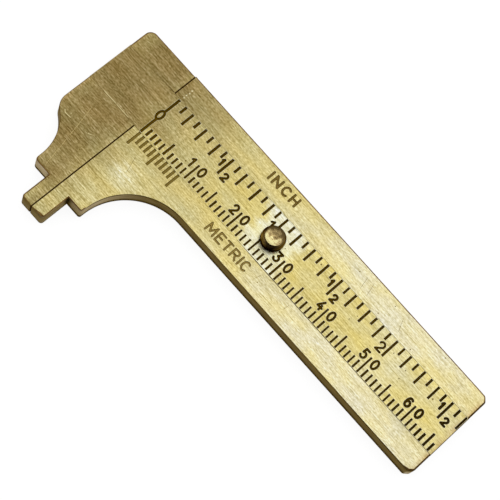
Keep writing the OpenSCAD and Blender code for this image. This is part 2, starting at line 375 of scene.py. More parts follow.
def bar_marks():
    """Millimetre lines and numbers, inch lines and numbers, and the zero ring. Lines widen to both ends."""
    chance = random.Random(5)
    high = BAR_Y - BAR_EDGE_R - BURR_W - 0.005
    low = -high
    last_x = TAIL_X - 0.25

    for i in range(1, int((last_x - ZERO_X) / MM_PITCH) + 1):
        half_w = 0.182 + 0.06 * exp(-i / 7) + 0.04 * exp((i - 66) / 6)
        half_w += chance.uniform(-0.015, 0.015)
        start = low + (0.2 if i < 16 else 0.1 if i < 30 else 0)
        end = low + line_length(i, MM_LENGTHS) + chance.uniform(-0.03, 0.06)
        yield upright(ZERO_X + i * MM_PITCH, start, end, half_w)

    for i in range(1, int((last_x - ZERO_X) / INCH_PITCH) + 1):
        x = min(ZERO_X + i * INCH_PITCH, TAIL_X - 0.36)
        half_w = 0.202 + 0.055 * exp(-i / 14) + 0.03 * exp((i - 41) / 5)
        half_w += chance.uniform(-0.015, 0.015)
        half_w = min(half_w, TAIL_X - BAR_END_R - BURR_W - 0.01 - x)
        start = high - line_length(i, INCH_LENGTHS) + chance.uniform(-0.05, 0.05)
        yield upright(x, start, high, half_w)

    number_y = -SLOT_Y + 2.1
    for tens in range(1, 7):
        tick_x = ZERO_X + 10 * tens * MM_PITCH
        half_w = 0.225 if tens == 6 else 0.205
        yield from glyph(str(tens), tick_x - 1.2, number_y, 1.3, 2.0, half_w)
        yield from glyph("0", tick_x + 1.15, number_y, 1.3, 2.0, half_w)

    for half in (1, 3, 5):
        tick_x = ZERO_X + 8 * half * INCH_PITCH
        yield from glyph("1", tick_x - 0.9, -SLOT_Y + 5.95, 0.9, 1.7, 0.24)
        yield from glyph("2", tick_x + 1.25, -SLOT_Y + 4.55, 1.25, 1.7, 0.215)
    for inches in (1, 2):
        tick_x = ZERO_X + 16 * inches * INCH_PITCH
        yield from glyph(str(inches), tick_x - 1.15, -SLOT_Y + 4.85, 1.4, 2.0, 0.185)

    ring_y = -SLOT_Y + 4.38
    ring_h = 0.85
    ring = bow(ZERO_X - 0.08, ring_y, 0.47, ring_h, 90, 450, 24)
    yield Stroke(ring, 0.235, MARK_DEPTH, INK)
    yield upright(ZERO_X, low, ring_y - ring_h, 0.25)
    yield upright(ZERO_X, ring_y + ring_h, high, 0.25)


def beam_marks():
    """Vernier lines that run out into the channel, and the two unit words."""
    for i in range(11):
        x = VERNIER_X + i * VERNIER_PITCH
        low_y = -SLOT_Y - line_length(i, VERNIER_LENGTHS)
        yield upright(x, low_y, -SLOT_Y + 1, 0.23, FAINT_DEPTH, FAINT)
    yield from word("INCH", (0.5, 1.65, 1.55, 1.55), 19.45, SLOT_Y + 1.85, 1.95, 0.4, 0.21)
    widths = (1.95, 1.4, 1.4, 1.5, 0.4, 1.4)
    yield from word("METRIC", widths, 19.3, -SLOT_Y - 2.85, 1.95, 0.26, 0.178)


# Scratches and specks left by use
def scratch(points, half_w, finish):
    return Stroke(points, half_w, SCRATCH_DEPTH, finish)


def specks(places, half_w, finish):
    return [scratch([place], half_w, finish) for place in places]


def head_flaws():
    """A long light scratch down the jaw, small nicks and specks, and the line where the bar is let in."""
    return [
        scratch([(-6.35, -7.6), (-5.4, -11.6), (-5.05, -13.2)], 0.03, BRIGHT),
        scratch([(-4.85, -14.1), (-4.5, -15.6), (-3.75, -19.2)], 0.03, BRIGHT),
        scratch([(-8.7, -11.0), (-8.3, -11.3), (-7.8, -11.25), (-7.2, -11.2)], 0.08, BRIGHT),
        scratch([(-3.45, -10.78), (-3.2, -10.7), (-3.05, -10.55)], 0.08, BRIGHT),
        scratch([(-4.5, SLOT_Y + 0.02), (-1.4, SLOT_Y + 0.03)], 0.035, FAINT),
        scratch([(-1.4, SLOT_Y + 0.05), (SEAM_X - 0.2, SLOT_Y + 0.05)], 0.06, INK),
        *specks([(-3.95, 6.8), (-7.6, -10.7)], 0.09, BRIGHT),
        *specks([(-2.3, -13.6), (-9.3, 8.0), (-1.9, -6.9)], 0.11, FAINT),
    ]


def beam_flaws():
    """Bright dots above the zero line, and thin dark scratches and specks on both rails."""
    dark_lines = [
        [(41.7, 7.6), (42.2, 5.5)],
        [(43.1, 7.7), (43.7, 5.5)],
        [(50.3, 7.1), (51.1, 5.4)],
        [(4.0, -7.6), (4.7, -9.4), (5.0, -10.5)],
        [(30.6, -5.2), (30.4, -6.1)],
        [(36.9, -5.2), (36.8, -6.2)],
    ]
    dark_dots = [(40.2, 7.3), (47.9, 7.8), (46.9, 4.9), (54.4, 4.8), (59.0, 8.2), (31.05, -6.5)]
    return [
        *specks([(1.45, 5.0), (1.38, 5.55), (1.47, 6.15), (1.4, 6.75)], 0.13, BRIGHT),
        *specks([(1.18, 4.95), (1.22, 5.6), (1.2, 6.2)], 0.08, INK),
        *[scratch(line, 0.024, FAINT) for line in dark_lines],
        *specks(dark_dots, 0.1, FAINT),
    ]


def bar_flaws():
    """Dark specks along the bar and a bright line on its lower edge, where it is let into the head: a burr
    with a painted highlight.
    """
    burr_y = -BAR_Y + 0.15
    dark_dots = [(45.1, 2.0), (44.6, 0.7), (53.1, 2.4), (56.3, 1.9), (56.5, 0.2), (29.9, 0.6)]
    return [
        *specks(dark_dots, 0.09, INK),
        *specks([(62.3, 2.1), (9.4, -1.9), (35.4, 3.3), (33.0, 2.6)], 0.14, FAINT),
        # Painted highlight along the bar's lower edge in the head.
        scratch([(-8.6, burr_y + 0.05), (-7.5, burr_y + 0.02)], 0.03, BRIGHT),
        scratch([(-7.2, burr_y), (-4.6, burr_y + 0.01)], 0.078, BRIGHT),
        scratch([(-4.3, burr_y + 0.01), (-1.6, burr_y)], 0.065, BRIGHT),
    ]


# Mesh building
def add_object(name, data):
    """Puts a new object into the scene."""
    obj = bpy.data.objects.new(name, data)
    bpy.context.scene.collection.objects.link(obj)
    return obj


class Shell:
    """Vertices and faces of one piece, gathered in millimetres before its mesh is made."""

    def __init__(self):
        self.verts = []
        self.faces = []
        self.finishes = []

    def ring(self, points, z):
        """Adds a closed loop of points, at one height or at one for each, and returns its vertex numbers."""
        first = len(self.verts)
        self.verts += [(x, y, h) for (x, y), h in zip(points, np.broadcast_to(z, len(points)))]
        return list(range(first, len(self.verts)))

    def face(self, corners, finish):
        self.faces.append(tuple(corners))
        self.finishes.append(finish)

    def band(self, lower, upper, finish):
        """Joins two counter-clockwise loops, one above the other, with quads that face outward."""
        for i, quad_finish in enumerate(np.broadcast_to(finish, len(lower))):
            j = (i + 1) % len(lower)
            self.face((lower[i], lower[j], upper[j], upper[i]), quad_finish)

    def stack(self, rings, finishes):
        """Joins loops listed upward, with one finish for each band."""
        for lower, upper, finish in zip(rings, rings[1:], finishes):
            self.band(lower, upper, finish)

    def solid(self, rings, finishes):
        """Joins loops listed upward and closes both ends."""
        self.stack(rings, finishes)
        self.face(rings[-1], finishes[-1])
        self.face(rings[0][::-1], finishes[0])

    def lid(self, ring, strokes=(), up=True):
        """Closes a loop with a flat face. Strokes are cut into it, the deep ones with a raised burr that
        carries a painted highlight.
        """
        z = self.verts[ring[0]][2]
        points = [self.verts[i][:2] for i in ring]
        polygons = [list(range(len(points)))]
        for stroke in strokes:
            for run in smooth_runs(stroke.points):
                for half_w in stroke_edges(stroke):
                    edge = box_outline(run, half_w) if stroke.square else line_outline(run, half_w)
                    polygons.append(list(range(len(points), len(points) + len(edge))))
                    points += edge
        inside = 1
        tolerance = 1e-5
        found, _, triangles, origins, _, sources = delaunay_2d_cdt(
            [Vector(p) for p in points], [], polygons, inside, tolerance
        )
        places = np.array([p[:] for p in found])
        centres = places[np.array(triangles)].mean(1)
        lift = np.zeros(len(places))
        sunk = np.zeros(len(places))
        finishes = np.full(len(centres), FACE)
        # Burrs round the deep lines carry a painted highlight.
        for stroke in filter(has_burr, strokes):
            beyond = distance_to_stroke(places, stroke) - stroke.half_w
            lift = np.maximum(lift, BURR_H * np.clip(1 - beyond / BURR_W, 0, 1))
            finishes[distance_to_stroke(centres, stroke) < stroke.half_w + BURR_W] = BRIGHT
        for stroke in sorted(strokes, key=lambda s: s.depth):
            wall = wall_width(stroke)
            slack = WALL_SLACK * wall
            rise = stroke.half_w - slack - distance_to_stroke(places, stroke)
            sunk = np.maximum(sunk, stroke.depth * np.clip(rise / (wall - 2 * slack), 0, 1))
            inward = stroke.half_w - distance_to_stroke(centres, stroke)
            finishes[inward > 0] = INK if stroke.depth == FAINT_DEPTH else stroke.finish
            finishes[inward > wall] = stroke.finish
        depths = np.where(sunk > 0, sunk, -lift)
        numbers = []
        for place, depth, origin in zip(places, depths, origins):
            on_ring = [i for i in origin if i < len(ring)]
            if on_ring:
                numbers.append(ring[on_ring[0]])
            else:
                numbers.append(len(self.verts))
                self.verts.append((place[0], place[1], z - depth if up else z + depth))
        for triangle, source, mark in zip(triangles, sources, finishes):
            if 0 in source:
                corners = [numbers[i] for i in triangle]
                self.face(corners if up else corners[::-1], mark)

    def piece(self, name, materials):
        """Makes the Blender object, still in millimetres."""
        mesh = bpy.data.meshes.new(name)
        mesh.from_pydata(self.verts, [], self.faces)
        for material in materials:
            mesh.materials.append(material)
        mesh.polygons.foreach_set("material_index", self.finishes)
        mesh.validate()
        return add_object(name, mesh)


def wall_width(stroke):
    """Width of a stroke's sloping wall, which is dark also where its floor is pale."""
    return FAINT_WALL if stroke.depth == FAINT_DEPTH else min(MARK_WALL, stroke.half_w * MARK_WALL_SHARE)


def has_burr(stroke):
    return stroke.finish == INK and stroke.depth == MARK_DEPTH


def stroke_edges(stroke):
    """Half widths of a stroke's outlines: the foot of its burr, its upper edge and its floor."""
    edges = [stroke.half_w, stroke.half_w - wall_width(stroke)]
    return [stroke.half_w + BURR_W] + edges if has_burr(stroke) else edges


def rounded_edge(radius, low_z, high_z, steps=4):
    """Insets and heights of a wall with its edges rounded over. The radius may differ by point."""
    quarter = [radians(90 * i / steps) for i in range(steps + 1)]
    lower = [(FOOT_R * (1 - sin(a)), low_z + FOOT_R * (1 - cos(a))) for a in quarter]
    upper = [(radius * (1 - cos(a)), high_z - radius * (1 - sin(a))) for a in quarter]
    return lower + upper


def edge_style(x, y):
    """Radius and finish of an upper edge. Dirt fills the seam, and the fixed jaw's end is rubbed most. Edges
    of the jaws, head, tail and far side take a rubbed brown that is also painted shade.
    """
    if abs(x) < SEAM_WEAR:
        return SEAM_EDGE_R, INK
    if x > 0 and y < JAW_STEP_Y - 0.1:
        share = min((y - JAW_END_Y) / TIP_CORNER_R, 1)
        return TIP_EDGE_R + (JAW_EDGE_R - TIP_EDGE_R) * share, WORN_AND_SHADED
    if y < MOVING_STEP_Y + MOVING_STEP_R:
        return JAW_EDGE_R, WORN_AND_SHADED
    if x > TAIL_X - TAIL_WEAR:
        return TAIL_EDGE_R, WORN_AND_SHADED
    if y > SLOT_Y:
        return FAR_EDGE_R, WORN_AND_SHADED
    return (HEAD_EDGE_R, WORN_AND_SHADED) if x < 0 else (EDGE_R, WALL)


def plate(name, outline, strokes, materials):
    """A plate of the beam's thickness with rounded edges and an engraved front."""
    shell = Shell()
    radii, finishes = np.array([edge_style(x, y) for x, y in outline]).T
    edges = np.maximum(finishes, np.roll(finishes, -1)).astype(int)
    dirty = [abs(x) < SEAM_WEAR and y < JAW_STEP_Y for x, y in outline]
    walls = np.where(np.logical_and(dirty, np.roll(dirty, -1)), INK, WALL)
    wall = rounded_edge(radii, BACK_Z, FRONT_Z)
    rings = [shell.ring(inset_loop(outline, inset), z) for inset, z in wall]
    shell.stack(rings, [walls] * (len(rings) - 1 - EDGE_BANDS) + [edges] * EDGE_BANDS)
    shell.lid(rings[-1], strokes)
    shell.lid(rings[0], up=False)
    return shell.piece(name, materials)


def lathe(name, profile, centre, materials, finish, steps):
    """A turned solid from a profile of radius and height, listed upward, with its finish or finishes."""
    shell = Shell()
    rings = [shell.ring(arc(centre, r, 0, 360, steps)[:-1], z) for r, z in profile]
    shell.solid(rings, np.broadcast_to(finish, len(profile)))
    return shell.piece(name, materials)


def drill(centre, low_z, high_z, materials):
    """A cylinder that cuts a pin's hole."""
    radius = PIN_R + PIN_FIT
    return lathe("drill", [(radius, low_z), (radius, high_z)], centre, materials, INNER, 32)


def jaw_pin_drills(low_z, high_z, materials):
    return [drill((JAW_PIN_X, y), low_z, high_z, materials) for y in (-JAW_PIN_Y, JAW_PIN_Y)]


def channel_cutter(half_w, lower_edge, materials):
    """A dovetailed bar that cuts a channel along X. Its lower edge is a list of places and chamfers."""
    over = 0.5
    floor_y = half_w + (FRONT_Z - CHANNEL_Z) / DOVETAIL_SLOPE
    finishes = [INNER, INNER, WALL, WALL, FAINT, INNER]
    shell = Shell()
    ends = []
    for x, chamfer in lower_edge:
        seat = half_w + chamfer / DOVETAIL_SLOPE
        section = [
            (-floor_y, CHANNEL_Z),
            (floor_y, CHANNEL_Z),
            (half_w, FRONT_Z - FINE_CHAMFER),
            (half_w + FINE_CHAMFER + over, FRONT_Z + over),
            (-seat - chamfer - over, FRONT_Z + over),
            (-seat, FRONT_Z - chamfer),
        ]
        ends.append(list(range(len(shell.verts), len(shell.verts) + len(section))))
        shell.verts += [(x, y, z) for y, z in section]
    shell.stack(ends, [finishes] * len(ends))
    shell.face(ends[0][::-1], INNER)
    shell.face(ends[-1], INNER)
    return shell.piece("channel", materials)


def carve(piece, cutters):
    """Cuts the cutters out of a piece and removes them."""
    for cutter in cutters:
        cut = piece.modifiers.new("cut", "BOOLEAN")
        cut.object = cutter
        cut.operation = "DIFFERENCE"
        cut.solver = "EXACT"
        cut.material_mode = "TRANSFER"
    graph = bpy.context.evaluated_depsgraph_get()
    carved = bpy.data.meshes.new_from_object(piece.evaluated_get(graph))
    piece.modifiers.clear()
    piece.data = carved
    for cutter in cutters:
        bpy.data.objects.remove(cutter)


def dress(piece, body, node):
    """Scales a finished piece to metres, shades it, and hands it to its body in place of its solid."""
    mesh = piece.data
    mesh.transform(Matrix.Scale(MM, 4))
    crease(mesh)
    lay_grain(mesh)
    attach(piece, body)
    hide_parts(node)


def crease(mesh, limit=radians(38)):
    """Smooth shading, with hard edges at corners and where two finishes meet."""
    work = bmesh.new()
    work.from_mesh(mesh)
    for face in work.faces:
        face.smooth = True
    for edge in work.edges:
        one, other = edge.link_faces
        edge.smooth = one.material_index == other.material_index and edge.calc_face_angle() < limit
    work.to_mesh(mesh)
    work.free()


def lay_grain(mesh):
    """A UV layer whose U runs across the brushing, so that highlights stretch across the grain."""
    layer = mesh.uv_layers.new(name="across_grain")
    for face in mesh.polygons:
        steep = abs(face.normal.z) < 0.7
        faces_end = abs(face.normal.x) > abs(face.normal.y)
        for loop in face.loop_indices:
            x, y, z = mesh.vertices[mesh.loops[loop].vertex_index].co
            along = y if steep and faces_end else x
            layer.data[loop].uv = (z if steep else y, along)


# Materials
class Tree:
    """A node tree, built by short calls."""

    def __init__(self, tree):
        self.tree = tree

    def node(self, kind, inputs=None, **settings):
        """Adds a node. An input is a value, an opaque colour or another node's output."""
        node = self.tree.nodes.new("ShaderNode" + kind)
        for name, value in settings.items():
            setattr(node, name, value)
        for name, value in (inputs or {}).items():
            socket = node.inputs[name]
            if isinstance(value, bpy.types.NodeSocket):
                self.tree.links.new(value, socket)
            else:
                socket.default_value = (*value, 1.0) if socket.type == "RGBA" else value
        return node

    def fit(self, value, low, high, to_low=0, to_high=1, smooth=False):
        """Maps a range of a value to another range, and stops at its ends."""
        inputs = {"Value": value, "From Min": low, "From Max": high, "To Min": to_low, "To Max": to_high}
        kind = "SMOOTHSTEP" if smooth else "LINEAR"
        return self.node("MapRange", inputs, interpolation_type=kind).outputs["Result"]


class Graph(Tree):
    """A material's nodes. Places are in millimetres."""

    def __init__(self, name):
        self.material = bpy.data.materials.new(name)
        self.material.use_nodes = True
        super().__init__(self.material.node_tree)
        self.tree.nodes.clear()
        metres = self.node("TexCoord").outputs["Object"]
        inputs = {"Vector": metres, "Scale": (1 / MM, 1 / MM, 1 / MM)}
        self.position = self.node("Mapping", inputs).outputs["Vector"]
        split = self.node("SeparateXYZ", {"Vector": self.position})
        self.x, self.y, self.z = split.outputs

    def noise(self, per_mm, detail=3, seed=0):
        """Noise from 0 to 1 whose features repeat per_mm times, along all axes or along each."""
        scale = np.broadcast_to(per_mm, 3)
        inputs = {"Vector": self.position, "Scale": scale, "Location": (seed, seed, seed)}
        place = self.node("Mapping", inputs)
        field = self.node("TexNoise", {"Vector": place.outputs["Vector"], "Scale": 1.0, "Detail": detail})
        return field.outputs["Fac"]

    def noise_of(self, value, per_mm):
        """Noise from 0 to 1 along a single value."""
        line = self.node("TexNoise", {"W": value, "Scale": per_mm, "Detail": 2.0}, noise_dimensions="1D")
        return line.outputs["Fac"]

    def spread(self, noise, to_low=0, to_high=1):
        """Maps the middle of a noise to a range."""
        return self.fit(noise, *NOISE_CORE, to_low, to_high)

    def swing(self, noise, strength):
        """A factor round 1 that follows a noise, up to a strength either way."""
        return self.fit(noise, *NOISE_SPAN, self.minus(1, strength), self.plus(1, strength))

    def maths(self, operation, *values):
        """Joins values by one operation, from left to right."""
        total = values[0]
        for value in values[1:]:
            total = self.node("Math", {0: total, 1: value}, operation=operation).outputs[0]
        return total

    plus = partialmethod(maths, "ADD")
    minus = partialmethod(maths, "SUBTRACT")
    times = partialmethod(maths, "MULTIPLY")
    most = partialmethod(maths, "MAXIMUM")

    def away(self, value, centre):
        """Distance of a value from a centre, either way."""
        return self.maths("ABSOLUTE", self.minus(value, centre), 0)

    def distance(self, x, y):
        """Distance from a point, seen along Z."""
        off_x = self.minus(self.x, x)
        off_y = self.minus(self.y, y)
        squares = self.plus(self.times(off_x, off_x), self.times(off_y, off_y))
        return self.maths("SQRT", squares, 0)

    def mix(self, share, a, b, blend="MIX"):
        """Blends two colours."""
        node = self.node("Mix", {0: share, 6: a, 7: b}, data_type="RGBA", blend_type=blend)
        return node.outputs[2]

    def bump(self, height, strength, depth_mm):
        inputs = {"Height": height, "Strength": strength, "Distance": depth_mm * MM}
        return self.node("Bump", inputs).outputs["Normal"]

    def finish(self, **inputs):
        """Ends the graph in a principled shader and returns the material."""
        named = {name.replace("_", " "): value for name, value in inputs.items()}
        shader = self.node("BsdfPrincipled", named)
        output = self.node("OutputMaterial")
        self.tree.links.new(shader.outputs["BSDF"], output.inputs["Surface"])
        return self.material

    def textured(self, colour, texture, rough, bump, relief=None, **more):
        """Ends the graph as metal, or as more says, rough by a texture and uneven by it or by a relief."""
        inputs = {"Base_Color": colour, "Metallic": 1.0}
        inputs["Roughness"] = self.spread(texture, *rough)
        inputs["Normal"] = self.bump(relief or texture, *bump)
        return self.finish(**(inputs | more))


# Colours as red, green and blue
TARNISHED = (0.30, 0.218, 0.078)
GOLDEN = (0.64, 0.54, 0.225)
RAIL_WARM = (0.77, 0.66, 0.29)
RAIL_PALE = (0.86, 0.78, 0.48)
BAR_WARM = (0.70, 0.585, 0.225)
BAR_PALE = (0.781, 0.662, 0.259)
# Pale of rubbed metal, also used for the painted sheen.
RUBBED_AND_SHEEN_PALE = (0.92, 0.88, 0.60)
BURNISHED = (0.52, 0.34, 0.13)


def brushed_brass(name, warm, pale, wear_and_shading, burnish, rubbed_patch_and_sheen=None):
    """Brass brushed along X. The wear argument says from the graph how rubbed each place is, with painted
    shading laid into it: 0 is tarnished and shaded, 1 is pale and lit.
    """
    g = Graph(name)
    long_streak = g.noise((0.07, 4.2, 4.2), 2)
    streak = g.noise((0.6, 4.4, 4.4), 2, 5)
    grain = g.noise((2.0, 5.0, 5.0), 2, 11)
    stain = g.noise((0.16, 0.22, 0.22), 4, 19)
    tint = g.noise((0.15, 0.3, 0.3), 4, 23)
    hair = g.noise((0.6, 6.5, 6.5), 1, 61)
    # The wear level also carries painted shade and light.
    rubbed = g.plus(wear_and_shading(g), g.fit(stain, *NOISE_SPAN, -0.08, 0.08))
    colour = g.mix(g.fit(rubbed, 0, 0.5), TARNISHED, GOLDEN)
    colour = g.mix(g.fit(rubbed, 0.5, 0.75), colour, warm)
    colour = g.mix(g.fit(rubbed, 0.75, 1), colour, pale)
    # The bar's pale rubbed patch, and the beam's painted sheen.
    if rubbed_patch_and_sheen:
        colour = g.mix(rubbed_patch_and_sheen(g), colour, RUBBED_AND_SHEEN_PALE)
    colour = g.mix(burnish(g), colour, BURNISHED)
    brushing = g.times(g.plus(long_streak, streak), 0.5)
    on_jaws = g.fit(g.y, -13, -8, g.fit(g.x, 0, 0.5, 1.2, 1.45), 1)
    shade = g.times(
        g.swing(brushing, g.times(g.fit(rubbed, 0, 0.6, 0.62, 0.36), on_jaws)),
        g.swing(grain, g.fit(rubbed, 0, 1, 0.52, 0.27)),
        g.fit(hair, 0.59, 0.7, 1, g.fit(rubbed, 0, 0.8, 1.45, 0.72)),
    )
    yellow = g.fit(rubbed, 0.2, 1, 0.05, 0.28)
    blue = g.times(g.maths("POWER", shade, 1.5), g.swing(tint, yellow))
    red = g.times(g.maths("POWER", shade, 0.9), g.fit(tint, *NOISE_SPAN, 1.05, 0.95))
    shade = g.node("CombineColor", {"Red": red, "Green": shade, "Blue": blue})
    colour = g.mix(1.0, colour, shade.outputs["Color"], "MULTIPLY")
    across = g.node("Tangent", direction_type="UV_MAP", uv_map="across_grain").outputs["Tangent"]
    brushed = {"Anisotropic": 0.5, "Tangent": across}
    return g.textured(colour, streak, (0.30, 0.44), (0.25, 0.03), brushing, **brushed)


def dark_edge_brass():
    """Filed walls, dark with painted shade, paler on the jaws, with more painted shade about the fixed jaw's
    step, low on the walls and at their feet, and a painted reflection on the tail's clipped corner.
    """
    g = Graph("edge_brass")
    grain = g.noise((0.5, 0.5, 4.0))
    worn = g.noise((0.4, 0.4, 0.8), seed=4)
    tip = g.plus(
        g.fit(g.x, FIXED_TIP_W - 0.5, FIXED_TIP_W + 0.6, 0.12, 0.4),
        g.fit(g.x, -MOVING_TIP_W - 0.4, -MOVING_TIP_W, 0.85, 0),
    )
    pale = g.fit(g.y, RAIL_LOW_Y - 1.5, JAW_STEP_Y + 3)
    pale = g.times(pale, g.fit(g.y, JAW_STEP_Y, JAW_STEP_Y + 0.8, tip, 1))
    pale = g.plus(pale, g.spread(worn, -0.08, 0.08))
    rail = g.mix(g.fit(g.z, 1.2, 2.6), (0.19, 0.147, 0.085), (0.19, 0.134, 0.054))
    colour = g.mix(pale, rail, (0.58, 0.485, 0.33))
    on_tip = g.fit(g.y, JAW_STEP_Y - 1.2, JAW_STEP_Y - 0.2, 1, 0)
    on_end = g.fit(g.y, JAW_END_Y + 0.3, JAW_END_Y + 0.8, 1, 0)
    under_edge = g.plus(g.fit(g.x, 14, 18, 0.6, 0.25), g.fit(g.x, 50, 58, 0, 0.45))
    under_edge = g.times(under_edge, g.fit(g.y, JAW_STEP_Y + 0.8, JAW_STEP_Y + 1.5))
    off_step = g.plus(g.away(g.x, FIXED_TIP_W), g.away(g.y, JAW_STEP_Y))
    # Painted shade: low on the walls except on the fixed tip, at their feet, high on the jaws' ends, just
    # under the upper edge along parts of the rail, and in and round the fixed jaw's inner corner. The grain
    # adds streaks.
    dark = g.plus(
        g.fit(g.z, 0.5, 1.2, g.fit(on_tip, 0, 1, 0.7, 0.05), 0),
        g.fit(g.z, 0.1, 0.6, 0.6, 0),
        g.times(on_end, g.fit(g.z, 1.7, 2.5, 0, 0.25)),
        g.times(under_edge, g.fit(g.z, 2.4, 2.75)),
        g.fit(off_step, 0.15, 1.0, 0.8, 0),
        g.times(g.fit(off_step, 2.5, 3.5, 0.5, 0), g.fit(g.z, 0.2, 0.9, 1, 0)),
        g.spread(grain, 0, 0.35),
    )
    colour = g.mix(dark, colour, (0.05, 0.036, 0.016))
    # Painted reflection: the lower part of the tail's clipped corner is pale.
    facet_reflection = g.fit(g.distance(TAIL_X - TAIL_CLIP / 2, RAIL_LOW_Y + TAIL_CLIP / 2), 0.3, 0.55, 0.7, 0)
    facet_reflection = g.times(facet_reflection, g.fit(g.z, 1.3, 2.2, 1, 0))
    colour = g.mix(facet_reflection, colour, (0.66, 0.58, 0.42))
    return g.textured(colour, grain, (0.42, 0.6), (0.3, 0.03), Specular_Tint=(0.5, 0.42, 0.25))


def worn_and_shaded_edge_brass():
    """Rounded corners rubbed to a warm brown, which is also painted shade on the rounded edges, darkest at
    the tail's end.
    """
    g = Graph("worn_and_shaded_edge_brass")
    patches = g.noise(0.9)
    grit = g.noise(5.0, 2, 3)
    colour = g.mix(g.fit(patches, 0.35, 0.65), (0.12, 0.058, 0.012), (0.29, 0.165, 0.045))
    # Painted shade at the tail's end.
    colour = g.mix(g.fit(g.x, TAIL_X - 0.6, TAIL_X - 0.2, 0, 0.6), colour, (0.06, 0.035, 0.01))
    return g.textured(colour, grit, (0.3, 0.5), (0.2, 0.02), Specular_Tint=(0.6, 0.5, 0.3))


def black_ink():
    """The brown-black floor of the scale's lines, darkest towards the tail, and the seam's brown."""
    g = Graph("ink")
    grit = g.noise(2.5)
    colour = g.mix(g.spread(grit), (0.08, 0.044, 0.001), (0.125, 0.07, 0.002))
    colour = g.mix(g.fit(g.x, 8, 22, g.fit(g.y, -1, 1, 0.7, 0.25), 0), colour, (0.16, 0.092, 0.003))
    colour = g.mix(g.fit(g.x, 54, 66, 0, 0.75), colour, (0.03, 0.016, 0.001))
    colour = g.mix(g.fit(g.away(g.x, 0), 0.4, 0.6, 1, 0), colour, (0.085, 0.036, 0.001))
    return g.textured(colour, grit, (0.55, 0.8), (0.4, 0.03), Metallic=0.0, Specular_IOR_Level=0.02)


def faint_ink():
    """Thin brown in the vernier's lines and the words, darkest on the inch side."""
    g = Graph("faint_ink")
    grit = g.noise(2.5)
    colour = g.mix(g.fit(g.x, 12, 19), (0.24, 0.168, 0.024), (0.40, 0.28, 0.07))
    colour = g.mix(g.fit(g.y, -1, 1), colour, (0.22, 0.135, 0.022))
    colour = g.mix(g.spread(grit, 0, 0.5), colour, (0.42, 0.31, 0.10))
    dull = {"Metallic": 0.5, "Specular_IOR_Level": 0.03, "Specular_Tint": (0.6, 0.5, 0.3)}
    return g.textured(colour, grit, (0.5, 0.75), (0.4, 0.03), **dull)


def satin_brass(name, dark, light, grain):
    """Plain worked brass with streaks along one direction."""
    g = Graph(name)
    streak = g.noise(grain)
    return g.textured(g.mix(g.spread(streak), dark, light), streak, (0.28, 0.45), (0.2, 0.02))


def fresh_brass_and_highlight():
    """Bare metal in scratches and specks, and a painted highlight on burrs, brightest where the faces round
    it are pale.
    """
    g = Graph("fresh_brass_and_highlight")
    streak = g.noise((0.8, 3.0, 3.0))
    colour = g.mix(g.fit(g.x, -0.5, 1.3), (0.78, 0.66, 0.34), (0.9, 0.82, 0.5))
    colour = g.mix(g.fit(g.x, 1.5, 30), colour, (0.95, 0.88, 0.60))
    colour = g.mix(g.spread(streak, 0, 0.3), colour, TARNISHED)
    return g.textured(colour, streak, (0.3, 0.45), (0.2, 0.02))


def turned_dish():
    """The stud's dish: turned bright, with smears, painted shade towards its far side, by the pip and under
    the rim, and a painted highlight towards the tail.
    """
    g = Graph("stud_dish")
    smear = g.noise(1.8, 4)
    streak = g.noise((2.0, 9.0, 9.0), 2, 7)
    radius = g.distance(STUD_X, 0)
    turning = g.noise_of(radius, 9.0)
    shift = g.plus(g.spread(smear, -0.4, 0.4), g.spread(turning, -0.2, 0.2), g.spread(streak, -0.35, 0.35))
    # Painted shade by the pip and under the rim's far side, and a painted highlight towards the tail.
    by_pip = g.fit(g.distance(STUD_X + 0.3, 0.1), 0.15, 0.45, 0.6, 0)
    painted_highlight = g.fit(g.distance(STUD_X + 0.9, 0.1), 0.2, 0.7, 0.55, 0)
    under_rim = g.times(g.fit(radius, 1.2, 1.45, 0, 0.7), g.fit(g.y, -0.9, 0.2))
    # Darker towards +Y as painted shade, with smears from the noise.
    smear_and_painted_shade = g.plus(g.minus(g.plus(g.fit(g.y, -0.9, 0.6), shift, by_pip), painted_highlight), under_rim)
    colour = g.mix(g.fit(smear_and_painted_shade, 0.1, 0.5), (1.0, 0.92, 0.46), (0.62, 0.46, 0.2))
    colour = g.mix(g.fit(smear_and_painted_shade, 0.5, 1.2), colour, (0.17, 0.115, 0.04))
    return g.textured(colour, smear, (0.14, 0.3), (0.3, 0.03), turning)


def dark_stud_side():
    """The stud's side and bevel: painted shade, nearly black towards -Y and brown towards +Y, with a painted
    highlight of gold on the upper bevel.
    """
    g = Graph("stud_side")
    smear = g.noise((1.2, 1.2, 4.0))
    smeared = g.spread(smear)
    toward = g.minus(g.times(g.minus(STUD_X, g.x), 0.64), g.times(g.y, 0.77))
    # Painted highlight: gold on the upper bevel towards -X and -Y, and towards +X.
    rubbed = g.times(
        g.most(g.fit(toward, 1.3, 1.98), g.fit(g.x, STUD_X + 1.2, STUD_X + 1.95, 0, 0.6)),
        g.fit(g.z, FRONT_Z + 0.7, FRONT_Z + STUD_SIDE_H),
        g.fit(smear, 0.3, 0.65, 0.3, 1),
    )
    # Painted shade: nearly black towards -Y, brown towards +Y.
    black = g.mix(smeared, (0.012, 0.007, 0.003), (0.035, 0.022, 0.008))
    brown = g.mix(smeared, (0.06, 0.04, 0.01), (0.15, 0.10, 0.03))
    colour = g.mix(g.fit(g.y, -0.8, 0.6), black, brown)
    colour = g.mix(rubbed, colour, (0.46, 0.31, 0.10))
    return g.textured(colour, smear, (0.25, 0.4), (0.2, 0.02), Specular_Tint=(0.3, 0.24, 0.12))


